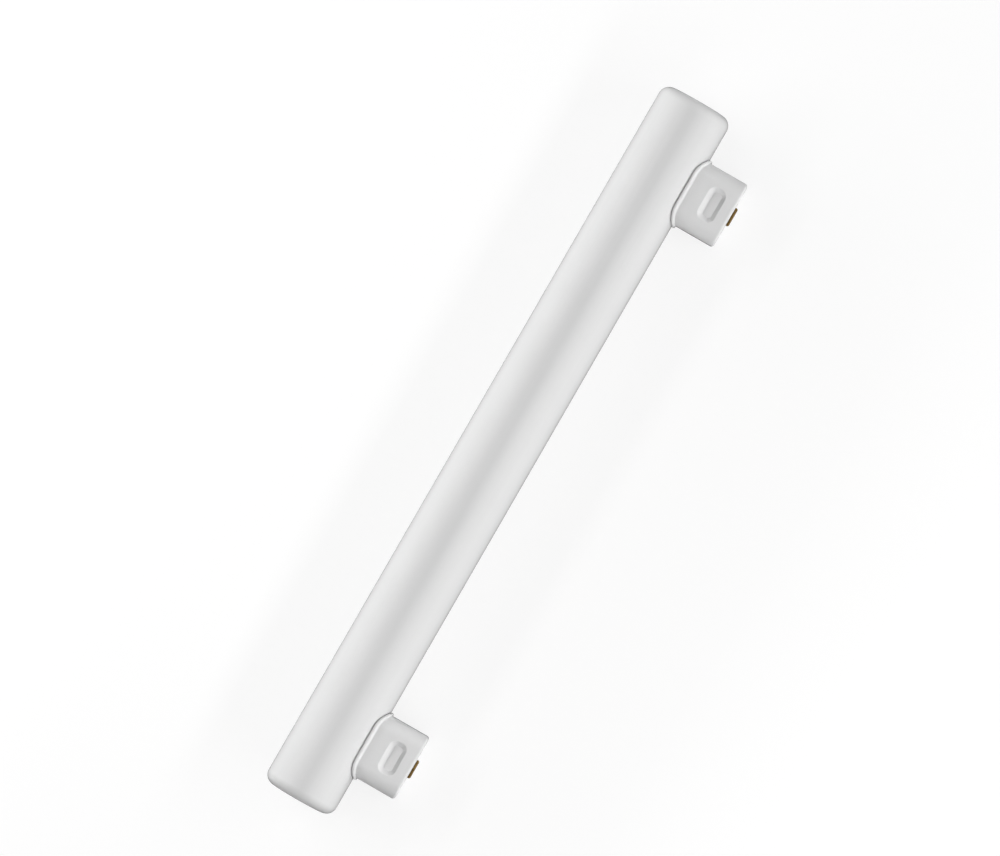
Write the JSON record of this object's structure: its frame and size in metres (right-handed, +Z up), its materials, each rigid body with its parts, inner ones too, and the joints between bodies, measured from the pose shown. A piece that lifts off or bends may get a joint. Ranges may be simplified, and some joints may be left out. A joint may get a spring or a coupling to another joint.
{
  "type": "tubular light bulb",
  "caption": "Opal white linear lamp: a closed tube with rounded ends, carried by moulded side caps that have latch recesses and a brass contact on their outer faces.",
  "frame": {"origin": "on the floor under the middle of the lamp, as it lies at rest on its tube and on the edges of its caps", "axes": "+X along the tube, +Z up, caps towards -Y and tilted down until they meet the floor"},
  "size_m": [0.3, 0.0472, 0.0291],
  "materials": {
    "opal_tube": "satin opal",
    "cap_moulding": "fine moulded grain",
    "cap_cement": "cast, mineral filled",
    "contact_brass": "rolled, slightly dulled",
    "lead_wire": "bare wire"
  },
  "bodies": {
    "root": {"opal_tube": "opal_tube", "left_cap": "cap_moulding", "right_cap": "cap_moulding", "left_cement": "cap_cement", "right_cement": "cap_cement", "left_contact": "contact_brass", "right_contact": "contact_brass", "left_lead": "lead_wire", "right_lead": "lead_wire"}
  },
  "joints": []
}
